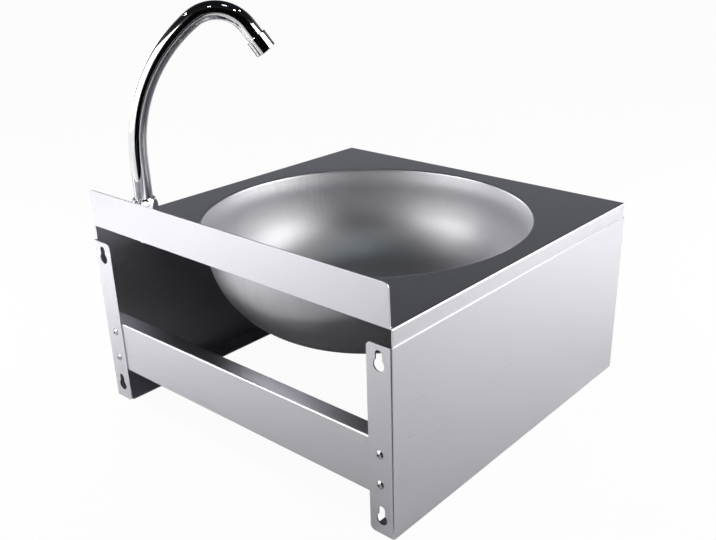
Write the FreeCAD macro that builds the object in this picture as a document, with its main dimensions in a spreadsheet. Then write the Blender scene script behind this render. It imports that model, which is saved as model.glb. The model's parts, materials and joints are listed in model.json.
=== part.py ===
import FreeCAD, Part

import math
import os

import Sketcher
from FreeCAD import Placement, Rotation, Vector

# Wall-hung stainless hand basin worked by the knee.
# X runs to the user's right, Y to the wall and Z up. The origin lies below the middle of the
# casing, level with the bottom flanges. Lengths are in millimetres and angles in degrees.

SIZES = {
    # casing
    "casing_width": 400.0,  # deck, outside the skirts
    "casing_depth": 400.0,  # front face to wall
    "casing_height": 200.0,  # bottom flanges to top of deck
    "sheet": 1.2,  # thickness of the folded sheet
    "edge_bend": 2.0,  # outside radius of a fold
    "overrun": 1.0,  # how far a cut runs past its work
    "hole_gap": 0.1,  # a fastener in its hole
    # deck
    "upstand_height": 38.3,
    "upstand_setback": 3.0,  # fold of the upstand, ahead of the wall
    "upstand_top_gap": 1.5,  # top of the upstand, ahead of the wall
    "upstand_end_inset": 2.3,
    "upstand_corner": 5.0,
    "skirt_depth": 32.0,  # side skirts, which the panels lap
    "panel_drop": 16.3,  # top of the deck to the top of a side panel
    "skirt_relief": 0.4,
    "tap_inset": 39.5,  # tap axis from the side and from the wall
    "tap_hole_radius": 11.2,
    "weld_gap": 0.1,
    # bowl, inside radii
    "bowl_shift": 3.0,  # middle of the bowl, away from the tap
    "bowl_rim": 175.0,
    "bowl_lip": 1.8,
    "bowl_flare": 40.0,
    "flare_angle": 28.0,  # lean of the wall just below the lip
    "bowl_knuckle": 94.2,
    "bowl_crown": 318.8,
    "seat_radius": 37.0,  # flat recess for the waste
    "seat_depth": 4.0,
    "drain_radius": 22.0,
    # side panels
    "rear_flange": 26.5,
    "bottom_flange": 25.5,
    "front_flange": 16.0,
    "flange_corner": 5.0,
    "flange_relief": 2.0,
    "keyhole_radius": 5.8,
    "keyhole_slot_half": 3.6,
    "keyhole_rise": 9.8,  # round part to the end of the slot
    "keyhole_inset": 13.4,
    "keyhole_height": 15.6,
    "keyhole_top_drop": 18.1,  # upper keyhole below the top of the panel
    # rear rail and its blind rivets
    "rail_bottom": 37.6,
    "rail_height": 56.6,
    "rail_depth": 17.0,
    "rail_end_gap": 0.5,
    "rivet_inset": 14.6,
    "rivet_pitch": 30.4,
    "rivet_radius": 2.4,
    "rivet_head_radius": 4.2,
    "rivet_head_height": 1.8,
    "rivet_tail_radius": 3.4,
    "rivet_tail_length": 4.0,
    "mandrel_radius": 1.2,
    "mandrel_depth": 1.0,
    # knee panel and its hinge
    "buffer_thickness": 1.5,
    "buffer_radius": 5.0,
    "buffer_inset": 10.5,
    "buffer_margin": 30.0,
    "knee_gap": 0.2,
    "knee_side_gap": 5.0,
    "knee_bottom": 8.0,
    "knee_top_drop": 14.0,
    "knee_return": 14.0,
    "hinge_drop": 20.0,
    "hinge_setback": 12.0,
    "hinge_radius": 3.0,
    "running_gap": 0.05,
    "ear_radius": 8.0,
    "rod_end_gap": 1.5,
    "clip_radius": 7.0,
    "clip_thickness": 1.0,
    "clip_gap": 0.3,
    "bracket_inset": 50.0,  # hinge bracket from the side of the deck
    "bracket_sheet": 1.5,
    "bracket_foot": 30.0,
    "bracket_front": 7.0,
    "bracket_back": 11.0,
    "bracket_below": 8.0,
    "bracket_corner": 5.0,
    # knee valve
    "valve_height": 24.0,
    "button_gap": 0.3,
    "button_radius": 11.0,
    "button_dome": 4.0,
    "button_length": 8.0,
    "button_bore": 5.0,
    "stem_travel": 10.5,
    "stem_radius": 5.0,
    "bonnet_radius": 13.0,
    "bonnet_wall": 4.0,
    "bonnet_skirt": 10.0,
    "bonnet_gap": 0.3,
    "bonnet_chamfer": 1.5,
    "neck_radius": 11.0,
    "nut_spacing": 0.5,
    "valve_nut_flats": 30.0,
    "valve_nut_height": 6.0,
    "valve_radius": 16.0,
    "valve_length": 29.2,
    "chamber_radius": 8.0,
    "chamber_depth": 21.2,  # behind the bracket
    "piston_gap": 0.1,
    "piston_length": 6.0,
    "piston_place": 13.2,  # bonnet to the front of the piston
    "groove_width": 2.6,
    "groove_floor": 5.7,
    "spring_wall": 1.3,
    "spring_gap": 1.0,  # spring to the chamber wall
    "thread_radius": 10.48,  # half-inch pipe thread
    "thread_chamfer": 1.0,
    "thread_grip_radius": 9.9,  # mean radius of the thread, inside a nut
    "thread_runout": 0.5,
    "inlet_length": 16.0,
    "outlet_place": 15.0,
    "outlet_reach": 32.0,
    "port_radius": 6.0,
    # bracket of the valve
    "cross_end_gap": 2.0,
    "cross_foot": 30.0,
    "cross_height": 24.0,
    "tab_half_width": 32.0,
    "tab_above_valve": 30.0,
    "tab_corner": 10.0,
    # waste
    "upper_seal_thickness": 1.5,
    "upper_seal_radius": 34.0,
    "lower_seal_thickness": 2.5,
    "lower_seal_radius": 30.0,
    "seal_bore_gap": 0.35,
    "waste_flange_gap": 0.5,
    "tail_radius": 20.95,  # inch-and-a-quarter pipe thread
    "tail_grip_radius": 20.2,
    "tail_bore": 17.0,
    "tail_reach": 21.6,  # below the seat of the bowl
    "strainer_radius": 19.4,
    "strainer_gap": 0.1,
    "strainer_step": 2.0,
    "strainer_thickness": 1.5,
    "strainer_inner_ring": 8.5,
    "strainer_inner_hole": 2.2,
    "strainer_outer_ring": 14.5,
    "strainer_outer_hole": 2.2,
    "bridge_width": 8.0,
    "bridge_height": 6.0,
    "bridge_drop": 9.0,
    "screw_radius": 2.4,
    "screw_head_radius": 4.8,
    "screw_head_height": 2.2,
    "screw_slot_half": 0.5,
    "screw_slot_depth": 1.0,
    "waste_nut_flats": 52.0,
    "waste_nut_height": 6.5,
    # tap shank under the spout
    "tap_seal_thickness": 1.5,
    "shank_flange_radius": 15.0,
    "shank_flange_height": 4.5,
    "shank_neck_radius": 10.0,
    "shank_neck_height": 13.0,
    "shank_tail": 21.0,
    "shank_bore": 5.0,
    "socket_floor": 3.3,
    "spigot_floor_gap": 0.2,
    "spigot_radius": 7.0,
    "swivel_gap": 0.08,
    "ring_groove_radius": 8.6,
    "ring_groove_width": 2.0,
    "ring_place": 2.5,  # lower ring above the shank flange
    "ring_pitch": 4.0,
    "bead_radius": 9.7,
    "bead_height": 1.5,
    "bead_gap": 0.1,
    "bush_height": 1.5,
    "tap_washer_radius": 17.0,
    "tap_washer_thickness": 1.5,
    "tap_nut_flats": 27.0,
    "tap_nut_height": 6.0,
    "coupling_flats": 23.0,
    "coupling_lift": 1.0,
    "coupling_height": 20.0,
    "coupling_cone": 6.0,
    "coupling_top_radius": 11.3,
    "coupling_lip_gap": 0.3,
    # spout
    "tube_radius": 9.0,
    "tube_wall": 1.2,
    "spout_heading": 225.0,
    "spout_rise": 69.0,  # straight run above the deck
    "spout_sweep_radius": 167.0,
    "spout_sweep_angle": 53.0,
    "spout_crook_radius": 36.5,
    "spout_crook_angle": 92.5,
    "spout_nose": 11.0,  # straight run down to the aerator
    # aerator
    "aerator_radius": 11.0,
    "aerator_length": 17.0,
    "aerator_grip": 7.0,
    "aerator_lip": 1.2,
    "aerator_mouth": 7.6,
    "aerator_chamfer": 0.6,
    "aerator_washer_thickness": 1.5,
    "aerator_washer_bore": 6.8,
    "insert_gap": 0.1,
    "insert_ring": 4.8,
    "insert_hole": 1.1,
}

RAIL_RIVETS = 2
STRAINER_INNER_HOLES = 6
STRAINER_OUTER_HOLES = 12
INSERT_HOLES = 8
HEX_SIDES = 6
CHAMFER_SHARE = 0.6  # height of a nut's corner chamfer, as a share of its depth
CORNER_SHARE = 1 / (2 * math.cos(math.pi / HEX_SIDES))  # corner radius by the distance across flats
TOUCHING = 1e-4


class Size:
    """A number, and the same number written with the names in the sheet."""

    def __init__(self, number, text):
        self.number = number
        self.text = text

    def __add__(self, other):
        return Size(self.number + number_of(other), f"({self.text} + {text_of(other)})")

    def __sub__(self, other):
        return Size(self.number - number_of(other), f"({self.text} - {text_of(other)})")

    def __mul__(self, other):
        return Size(self.number * number_of(other), f"({self.text} * {text_of(other)})")

    def __truediv__(self, other):
        return Size(self.number / number_of(other), f"({self.text} / {text_of(other)})")

    def __neg__(self):
        return Size(-self.number, f"(-{self.text})")


def number_of(value):
    return value.number if isinstance(value, Size) else float(value)


def text_of(value):
    return value.text if isinstance(value, Size) else repr(float(value))


def root(size):
    return Size(math.sqrt(size.number), f"sqrt({size.text})")


def sine(angle):
    return Size(math.sin(math.radians(angle.number)), f"sin({angle.text})")


def cosine(angle):
    return Size(math.cos(math.radians(angle.number)), f"cos({angle.text})")


def other_leg(long_side, leg):
    """The remaining side of a right-angled triangle."""
    return root(long_side * long_side - leg * leg)


class Named:
    """Holds each named size as an attribute."""


doc = FreeCAD.newDocument("HandBasin")
sheet = doc.addObject("Spreadsheet::Sheet", "Sizes")
dim = Named()
for row, (name, value) in enumerate(SIZES.items(), start=1):
    sheet.set(f"A{row}", name)
    sheet.set(f"B{row}", str(value))
    sheet.setAlias(f"B{row}", name)
    setattr(dim, name, Size(value, f"Sizes.{name}"))
doc.recompute()

ZERO = Size(0.0, "0")
nodes = []

# Planes and places that several pieces share
half_width = dim.casing_width / 2
rivet_dome = (
    dim.rivet_head_radius * dim.rivet_head_radius + dim.rivet_head_height * dim.rivet_head_height
) / (dim.rivet_head_height * 2)
rivet_mouth = dim.rivet_head_height - rivet_dome + other_leg(rivet_dome, dim.mandrel_radius)
front = -(dim.casing_depth + rivet_mouth) / 2
wall = front + dim.casing_depth
middle = front + dim.casing_depth / 2
bowl_x = -dim.bowl_shift
deck_top = dim.casing_height
deck_under = deck_top - dim.sheet
panel_outside = half_width + dim.sheet
panel_top = deck_top - dim.panel_drop
fold = wall - dim.upstand_setback
rail_back = wall - dim.sheet
rail_middle = dim.rail_bottom + dim.rail_height / 2

knee_front = front + dim.sheet + dim.buffer_thickness + dim.knee_gap
knee_back = knee_front + dim.sheet
knee_half = half_width - dim.knee_side_gap
knee_top = deck_top - dim.knee_top_drop
hinge_y = knee_front + dim.hinge_setback
hinge_z = deck_top - dim.hinge_drop

# Along the valve, counted from the inside of the knee panel towards the wall
button_back = dim.button_gap + dim.button_length
bonnet_front = button_back + dim.stem_travel
bonnet_inside = bonnet_front + dim.bonnet_wall
bonnet_end = bonnet_inside + dim.bonnet_skirt
plate_front = bonnet_end + dim.nut_spacing + dim.valve_nut_height
plate_back = plate_front + dim.bracket_sheet
chamber_end = plate_back + dim.chamber_depth
valve_end = plate_back + dim.valve_length
inlet_end = valve_end + dim.inlet_length
piston_front = bonnet_inside + dim.piston_place
piston_back = piston_front + dim.piston_length
piston_middle = (piston_front + piston_back) / 2
piston_radius = dim.chamber_radius - dim.piston_gap

# Bowl section
rim_radius = dim.bowl_rim
lip_middle = deck_top - dim.bowl_lip
flare_reach = dim.bowl_flare - dim.bowl_lip
flare_radius = rim_radius + flare_reach * cosine(dim.flare_angle)
bowl_shoulder = lip_middle - flare_reach * sine(dim.flare_angle)
bowl_radius = flare_radius - dim.bowl_flare
knuckle_radius = bowl_radius - dim.bowl_knuckle
crown_reach = dim.bowl_crown - dim.bowl_knuckle
crown_centre = bowl_shoulder + other_leg(crown_reach, knuckle_radius)
seat_rim = crown_centre - other_leg(dim.bowl_crown, dim.seat_radius)
seat_floor = seat_rim - dim.seat_depth
seat_under = seat_floor - dim.sheet
waste_flange_under = seat_floor + dim.upper_seal_thickness
waste_nut_top = seat_under - dim.lower_seal_thickness
waste_nut_under = waste_nut_top - dim.waste_nut_height
tail_end = seat_under - dim.tail_reach

# Tap and spout
tap_x = half_width - dim.tap_inset
tap_y = wall - dim.tap_inset
shank_under = deck_top + dim.tap_seal_thickness
shank_shoulder = shank_under + dim.shank_flange_height
shank_top = shank_shoulder + dim.shank_neck_height
socket_floor = shank_under + dim.socket_floor
socket_radius = dim.spigot_radius + dim.swivel_gap
bead_under = shank_top + dim.bead_gap
bead_top = bead_under + dim.bead_height
bush_under = bead_top + dim.bead_gap
bush_top = bush_under + dim.bush_height
coupling_shelf = bush_top + dim.bead_gap
coupling_under = shank_shoulder + dim.coupling_lift
coupling_top = coupling_under + dim.coupling_height
washer_under = deck_under - dim.tap_washer_thickness
tap_nut_under = washer_under - dim.tap_nut_height
nose_angle = dim.spout_sweep_angle + dim.spout_crook_angle
lower_ring = shank_shoulder + dim.ring_place
upper_ring = lower_ring + dim.ring_pitch
strainer_top = seat_rim - dim.strainer_step + dim.strainer_thickness
bridge_under = seat_rim - dim.bridge_drop - dim.bridge_height

# Ways a piece built along Z is turned
TOWARDS_WALL = Rotation(Vector(1, 0, 0), -90)
HEADING = Rotation(Vector(0, 0, 1), dim.spout_heading.number)


# Sketches

PLANES = {"XY": "XY_Plane", "XZ": "XZ_Plane", "YZ": "YZ_Plane"}
START, END, CENTRE = range(1, 4)
VERTICAL_AXIS, HORIZONTAL_AXIS = range(-2, 0)
ORIGIN_POINT = (HORIZONTAL_AXIS, START)


def new_body(label):
    body = doc.addObject("PartDesign::Body", label)
    body.Label = label
    nodes.append(body)
    return body


def new_sketch(body, name, plane, place=ZERO):
    """A sketch on one of the body's own planes, moved to the given X, Y or Z."""
    sketch = body.newObject("Sketcher::SketchObject", name)
    role = PLANES[plane]
    support = [feature for feature in body.Origin.OriginFeatures if feature.Role == role]
    sketch.AttachmentSupport = [(support[0], "")]
    sketch.MapMode = "FlatFace"
    lift = -place if plane == "XZ" else place
    sketch.AttachmentOffset = Placement(Vector(0, 0, lift.number), Rotation())
    sketch.setExpression("AttachmentOffset.Base.z", lift.text)
    return sketch


class Pinned:
    """Collects the constraints of a sketch and the names that set them."""

    def __init__(self, sketch):
        self.sketch = sketch
        self.constraints = []
        self.bindings = []

    def add(self, *parts):
        self.constraints.append(Sketcher.Constraint(*parts))

    def bind(self, size, *parts):
        self.bindings.append((len(self.constraints), size.text))
        self.add(*parts, size.number)

    def coordinate(self, kind, size, shape_index, point_index):
        if size.number == 0:
            axis = VERTICAL_AXIS if kind == "DistanceX" else HORIZONTAL_AXIS
            self.add("PointOnObject", shape_index, point_index, axis)
        else:
            self.bind(size, kind, *ORIGIN_POINT, shape_index, point_index)

    def point(self, spot, shape_index, point_index):
        self.coordinate("DistanceX", spot[0], shape_index, point_index)
        self.coordinate("DistanceY", spot[1], shape_index, point_index)

    def apply(self):
        first = self.sketch.ConstraintCount
        self.sketch.addConstraint(self.constraints)
        for index, text in self.bindings:
            self.sketch.setExpression(f"Constraints[{first + index}]", text)


def flat(spot):
    return Vector(number_of(spot[0]), number_of(spot[1]), 0)


def line_to(x, y):
    return {"end": (x, y)}


def arc_to(x, y, centre, left):
    """An arc about a centre; left is true where the path bends to the left."""
    return {"end": (x, y), "centre": centre, "left": left}


def draw_step(sketch, start, step):
    """Adds one line or arc, and gives its index with the indices of its two ends."""
    begin = flat(start)
    end = flat(step["end"])
    if "centre" not in step:
        index = sketch.addGeometry(Part.LineSegment(begin, end))
        return index, START, END
    centre = flat(step["centre"])
    low, high = (begin, end) if step["left"] else (end, begin)
    angles = [math.atan2(spot.y - centre.y, spot.x - centre.x) for spot in (low, high)]
    circle = Part.Circle(centre, Vector(0, 0, 1), (begin - centre).Length)
    index = sketch.addGeometry(Part.ArcOfCircle(circle, angles[0], angles[1]))
    return (index, START, END) if step["left"] else (index, END, START)


def trace(sketch, start, steps, closed=True):
    """Draws a path of lines and arcs whose points are tied to named sizes."""
    pinned = Pinned(sketch)
    if closed and (flat(steps[-1]["end"]) - flat(start)).Length > TOUCHING:
        steps = steps + [line_to(*start)]
    spots = [start] + [step["end"] for step in steps]
    drawn = [draw_step(sketch, spot, step) for spot, step in zip(spots, steps)]
    followers = drawn[1:] + drawn[:1] if closed else drawn[1:]
    for here, following in zip(drawn, followers):
        pinned.add("Coincident", here[0], here[2], following[0], following[1])
    for shape, spot in zip(drawn, spots):
        pinned.point(spot, shape[0], shape[1])
    if not closed:
        pinned.point(spots[-1], drawn[-1][0], drawn[-1][2])
    for shape, spot, step in zip(drawn, spots, steps):
        if "centre" in step:
            chord = flat(step["end"]) - flat(spot)
            across = abs(chord.x) >= abs(chord.y)
            kind = "DistanceY" if across else "DistanceX"
            size = step["centre"][1] if across else step["centre"][0]
            pinned.coordinate(kind, size, shape[0], CENTRE)
    pinned.apply()
    return sketch


def polygon(sketch, points):
    return trace(sketch, points[0], [line_to(*spot) for spot in points[1:]])


def rectangle(sketch, low, high):
    return polygon(sketch, [low, (high[0], low[1]), high, (low[0], high[1])])


def circles(sketch, centres, radius):
    pinned = Pinned(sketch)
    for centre in centres:
        index = sketch.addGeometry(Part.Circle(flat(centre), Vector(0, 0, 1), radius.number))
        pinned.point(centre, index, CENTRE)
        pinned.bind(radius, "Radius", index)
    pinned.apply()
    return sketch


def ring_of(count, radius):
    """Centres spread evenly round a circle."""
    angles = [2 * math.pi * index / count for index in range(count)]
    return [(radius * round(math.cos(a), 9), radius * round(math.sin(a), 9)) for a in angles]


# Features

def pad(body, sketch, length):
    feature = body.newObject("PartDesign::Pad", sketch.Name + "_pad")
    feature.Profile = sketch
    feature.Length = length.number
    feature.setExpression("Length", length.text)
    doc.recompute()
    return feature


def check_cut(body, before, name):
    if not body.Shape.Volume < before:
        raise ValueError(f"{name} cuts nothing")


def pocket(body, sketch, length):
    """Cuts from the sketch along its normal."""
    before = body.Shape.Volume
    feature = body.newObject("PartDesign::Pocket", sketch.Name + "_cut")
    feature.Profile = sketch
    feature.Reversed = True
    feature.Length = length.number
    feature.setExpression("Length", length.text)
    doc.recompute()
    check_cut(body, before, feature.Name)
    return feature


def revolve(body, sketch):
    feature = body.newObject("PartDesign::Revolution", sketch.Name + "_turn")
    feature.Profile = sketch
    feature.ReferenceAxis = (sketch, ["V_Axis"])
    feature.Angle = 360.0
    doc.recompute()
    return feature


def groove(body, sketch):
    before = body.Shape.Volume
    feature = body.newObject("PartDesign::Groove", sketch.Name + "_groove")
    feature.Profile = sketch
    feature.ReferenceAxis = (sketch, ["V_Axis"])
    feature.Angle = 360.0
    doc.recompute()
    check_cut(body, before, feature.Name)
    return feature


def lies_on(edge, **planes):
    """True where a whole edge lies at the given X, Y or Z."""
    box = edge.BoundBox
    for axis, size in planes.items():
        low = getattr(box, axis.upper() + "Min")
        high = getattr(box, axis.upper() + "Max")
        if max(abs(low - size.number), abs(high - size.number)) > TOUCHING:
            return False
    return True


def fillet(body, places, radius, name):
    """Rounds every edge that lies on one of the given sets of planes."""
    base = body.Tip
    chosen = []
    for index, edge in enumerate(base.Shape.Edges, start=1):
        if any(lies_on(edge, **place) for place in places):
            chosen.append(f"Edge{index}")
    if not chosen:
        raise ValueError(f"{name} finds no edge")
    feature = body.newObject("PartDesign::Fillet", name)
    feature.Base = (base, chosen)
    feature.Radius = radius.number
    feature.setExpression("Radius", radius.text)
    doc.recompute()
    return feature


def place(body, x=ZERO, y=ZERO, z=ZERO, rotation=None):
    body.Placement = Placement(Vector(x.number, y.number, z.number), rotation or Rotation())
    for axis, size in (("x", x), ("y", y), ("z", z)):
        body.setExpression(f"Placement.Base.{axis}", size.text)


def turned(label, points):
    """A piece turned about Z from its half section."""
    body = new_body(label)
    sketch = polygon(new_sketch(body, label + "_section", "XZ"), points)
    revolve(body, sketch)
    return body


def ring(label, inner, outer, low, high):
    return turned(label, [(inner, low), (outer, low), (outer, high), (inner, high)])


def hexagon(sketch, across_flats):
    corner = across_flats * CORNER_SHARE
    return polygon(sketch, ring_of(HEX_SIDES, corner))


def chamfer_corners(body, label, across_flats, high, low, top_radius, top_drop, both_ends):
    """Turns the corners of a hexagon down to a cone at its top, and at its foot too if asked."""
    beyond = across_flats * CORNER_SHARE + dim.overrun
    slope = top_drop / (across_flats * CORNER_SHARE - top_radius)
    drop = slope * (beyond - top_radius)
    above = new_sketch(body, label + "_crown", "XZ")
    polygon(above, [(top_radius, high), (beyond, high - drop), (beyond, high)])
    groove(body, above)
    if both_ends:
        below = new_sketch(body, label + "_foot", "XZ")
        polygon(below, [(top_radius, low), (beyond, low), (beyond, low + drop)])
        groove(body, below)


def hex_nut(label, across_flats, bore, low, height):
    body = new_body(label)
    pad(body, hexagon(new_sketch(body, label + "_hexagon", "XY", low), across_flats), height)
    hole = circles(new_sketch(body, label + "_bore", "XY", low - dim.overrun), [(ZERO, ZERO)], bore)
    pocket(body, hole, height + dim.overrun * 2)
    corner = across_flats * CORNER_SHARE - across_flats / 2
    high = low + height
    chamfer_corners(body, label, across_flats, high, low, across_flats / 2, corner * CHAMFER_SHARE, True)
    return body


def group(label, master, placements):
    """Copies of one piece as separate solids of one node."""
    nodes.remove(master)
    shapes = []
    for placement in placements:
        shape = master.Shape.copy()
        shape.Placement = placement
        shapes.append(shape)
    feature = doc.addObject("Part::Feature", label)
    feature.Label = label
    feature.Shape = Part.Compound(shapes)
    feature.Placement = Placement()
    nodes.append(feature)
    return feature


# Casing

def make_deck():
    body = new_body("deck")
    skirt_bottom = deck_top - dim.skirt_depth
    block = new_sketch(body, "deck_block", "XY", skirt_bottom)
    pad(body, rectangle(block, (-half_width, front), (half_width, fold)), dim.skirt_depth)
    rounded = [
        {"x": half_width, "z": deck_top},
        {"x": -half_width, "z": deck_top},
        {"y": front, "z": deck_top},
        {"x": half_width, "y": front},
        {"x": -half_width, "y": front},
    ]
    fillet(body, rounded, dim.edge_bend, "deck_folds")

    inside = half_width - dim.sheet
    hollow = new_sketch(body, "deck_hollow", "XY", skirt_bottom)
    rectangle(hollow, (-inside, front + dim.sheet), (inside, fold + dim.overrun))
    pocket(body, hollow, dim.skirt_depth - dim.sheet)

    beyond = half_width + dim.overrun
    relief = front + dim.sheet + dim.skirt_relief
    mouth = new_sketch(body, "deck_mouth", "XY", skirt_bottom)
    rectangle(mouth, (-beyond, front - dim.overrun), (beyond, relief))
    pocket(body, mouth, panel_top - skirt_bottom)

    upstand_half = half_width - dim.upstand_end_inset
    upstand_top = deck_top + dim.upstand_height
    upstand_back = wall - dim.upstand_top_gap
    upstand = new_sketch(body, "deck_upstand", "YZ", -upstand_half)
    lean = (upstand_back - fold) / (dim.upstand_height + dim.sheet)
    slant = root(lean * lean + 1)
    foot = fold - dim.sheet + lean * dim.sheet
    bend = dim.edge_bend
    bend_centre = (foot + lean * bend - slant * bend, deck_top + bend)
    steps = [
        line_to(fold, deck_under),
        line_to(upstand_back, upstand_top),
        line_to(upstand_back - dim.sheet, upstand_top),
        line_to(bend_centre[0] + bend / slant, bend_centre[1] - bend * lean / slant),
        arc_to(bend_centre[0], deck_top, bend_centre, False),
    ]
    trace(upstand, (bend_centre[0], deck_under), steps)
    pad(body, upstand, upstand_half * 2)
    corners = [{"x": upstand_half, "z": upstand_top}, {"x": -upstand_half, "z": upstand_top}]
    fillet(body, corners, dim.upstand_corner, "upstand_corners")

    depth = dim.sheet + dim.overrun * 2
    bowl_hole = new_sketch(body, "deck_bowl_hole", "XY", deck_under - dim.overrun)
    pocket(body, circles(bowl_hole, [(bowl_x, middle)], rim_radius + dim.weld_gap), depth)
    tap_hole = new_sketch(body, "deck_tap_hole", "XY", deck_under - dim.overrun)
    pocket(body, circles(tap_hole, [(tap_x, tap_y)], dim.tap_hole_radius), depth)


def make_bowl():
    """The pressed bowl: a lip, a flared wall, a deep knuckle, a shallow crown and the waste's seat."""
    outer_crown = dim.bowl_crown + dim.sheet
    along = knuckle_radius / crown_reach
    down = (crown_centre - bowl_shoulder) / crown_reach
    inward = cosine(dim.flare_angle)
    upward = sine(dim.flare_angle)
    under_lip = dim.bowl_lip - dim.sheet
    lip_centre = (rim_radius, lip_middle)
    flare_centre = (flare_radius, bowl_shoulder)
    knuckle_centre = (knuckle_radius, bowl_shoulder)
    crown_spot = (ZERO, crown_centre)
    seat_outside = dim.seat_radius + dim.sheet
    body = new_body("bowl")
    sketch = new_sketch(body, "bowl_section", "XZ")
    start = (rim_radius, deck_top)
    steps = [
        arc_to(rim_radius - dim.bowl_lip * inward, lip_middle + dim.bowl_lip * upward, lip_centre, True),
        arc_to(bowl_radius, bowl_shoulder, flare_centre, True),
        arc_to(dim.bowl_crown * along, crown_centre - dim.bowl_crown * down, knuckle_centre, False),
        arc_to(dim.seat_radius, seat_rim, crown_spot, False),
        line_to(dim.seat_radius, seat_floor),
        line_to(dim.drain_radius, seat_floor),
        line_to(dim.drain_radius, seat_under),
        line_to(seat_outside, seat_under),
        line_to(seat_outside, crown_centre - other_leg(outer_crown, seat_outside)),
        arc_to(outer_crown * along, crown_centre - outer_crown * down, crown_spot, True),
        arc_to(bowl_radius + dim.sheet, bowl_shoulder, knuckle_centre, True),
        arc_to(rim_radius - under_lip * inward, lip_middle + under_lip * upward, flare_centre, False),
        arc_to(rim_radius, deck_under, lip_centre, False),
    ]
    revolve(body, trace(sketch, start, steps))
    place(body, bowl_x, middle)


def keyhole(sketch, x, z):
    radius = dim.keyhole_radius
    half = dim.keyhole_slot_half
    shoulder = z + other_leg(radius, half)
    end = z + dim.keyhole_rise
    steps = [
        line_to(x + half, end),
        arc_to(x - half, end, (x, end), True),
        line_to(x - half, shoulder),
        arc_to(x + half, shoulder, (x, z), True),
    ]
    return trace(sketch, (x + half, shoulder), steps)


def make_side_panel(label, side):
    """A folded panel with rear, front and bottom flanges; side is 1 at the right, -1 at the left."""
    outside = panel_outside * side
    inside = half_width * side
    rear_edge = (panel_outside - dim.rear_flange) * side
    front_edge = (panel_outside - dim.front_flange) * side
    bottom_edge = (panel_outside - dim.bottom_flange) * side
    body = new_body(label)
    plan = new_sketch(body, label + "_plan", "XY")
    polygon(
        plan,
        [
            (outside, front),
            (outside, wall),
            (rear_edge, wall),
            (rear_edge, rail_back),
            (inside, rail_back),
            (inside, front + dim.sheet),
            (front_edge, front + dim.sheet),
            (front_edge, front),
        ],
    )
    pad(body, plan, panel_top)

    base = new_sketch(body, label + "_base", "XY")
    low = (inside, front + dim.sheet + dim.flange_relief)
    rectangle(base, low, (bottom_edge, rail_back - dim.flange_relief))
    pad(body, base, dim.sheet)

    folds = [{"x": outside, "y": wall}, {"x": outside, "y": front}]
    fillet(body, folds, dim.edge_bend, label + "_folds")
    corners = [{"x": rear_edge, "z": panel_top}, {"x": rear_edge, "z": ZERO}]
    fillet(body, corners, dim.flange_corner, label + "_corners")

    depth = dim.sheet + dim.overrun * 2
    key_x = (panel_outside - dim.keyhole_inset) * side
    for name, key_z in (("lower", dim.keyhole_height), ("upper", panel_top - dim.keyhole_top_drop)):
        sketch = new_sketch(body, f"{label}_{name}_keyhole", "XZ", wall + dim.overrun)
        pocket(body, keyhole(sketch, key_x, key_z), depth)
    holes = new_sketch(body, label + "_rivet_holes", "XZ", wall + dim.overrun)
    pocket(body, circles(holes, rivet_spots(side), dim.rivet_radius + dim.hole_gap), depth)


def rivet_spots(side):
    x = (panel_outside - dim.rivet_inset) * side
    first = rail_middle - dim.rivet_pitch / 2
    return [(x, first + dim.rivet_pitch * index) for index in range(RAIL_RIVETS)]


def make_rear_rail():
    body = new_body("rear_rail")
    end = half_width - dim.rail_end_gap
    top = dim.rail_bottom + dim.rail_height
    lip = rail_back - dim.rail_depth
    face = rail_back - dim.sheet
    section = new_sketch(body, "rear_rail_section", "YZ", -end)
    polygon(
        section,
        [
            (rail_back, dim.rail_bottom),
            (rail_back, top),
            (lip, top),
            (lip, top - dim.sheet),
            (face, top - dim.sheet),
            (face, dim.rail_bottom + dim.sheet),
            (lip, dim.rail_bottom + dim.sheet),
            (lip, dim.rail_bottom),
        ],
    )
    pad(body, section, end * 2)
    folds = [{"y": rail_back, "z": top}, {"y": rail_back, "z": dim.rail_bottom}]
    fillet(body, folds, dim.edge_bend, "rear_rail_folds")
    holes = new_sketch(body, "rear_rail_holes", "XZ", rail_back + dim.overrun)
    centres = rivet_spots(-1) + rivet_spots(1)
    radius = dim.rivet_radius + dim.hole_gap
    pocket(body, circles(holes, centres, radius), dim.sheet + dim.overrun * 2)


def make_rail_rivets():
    """Blind rivets: a domed head with the mandrel hole, a shank and the set tail."""
    mouth_floor = rivet_mouth - dim.mandrel_depth
    dome_centre = (ZERO, dim.rivet_head_height - rivet_dome)
    grip = -dim.sheet * 2
    tail = grip - dim.rivet_tail_length
    body = new_body("rail_rivet")
    sketch = new_sketch(body, "rail_rivet_section", "XZ")
    start = (dim.mandrel_radius, rivet_mouth)
    steps = [
        line_to(dim.mandrel_radius, mouth_floor),
        line_to(ZERO, mouth_floor),
        line_to(ZERO, tail),
        line_to(dim.rivet_radius, tail),
        line_to(dim.rivet_tail_radius, (tail + grip) / 2),
        line_to(dim.rivet_tail_radius, grip),
        line_to(dim.rivet_radius, grip),
        line_to(dim.rivet_radius, ZERO),
        line_to(dim.rivet_head_radius, ZERO),
        arc_to(*start, dome_centre, True),
    ]
    revolve(body, trace(sketch, start, steps))
    placements = []
    for x, z in rivet_spots(-1) + rivet_spots(1):
        placements.append(Placement(Vector(x.number, wall.number, z.number), TOWARDS_WALL))
    group("rail_rivets", body, placements)


# Knee panel and its hinge

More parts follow.
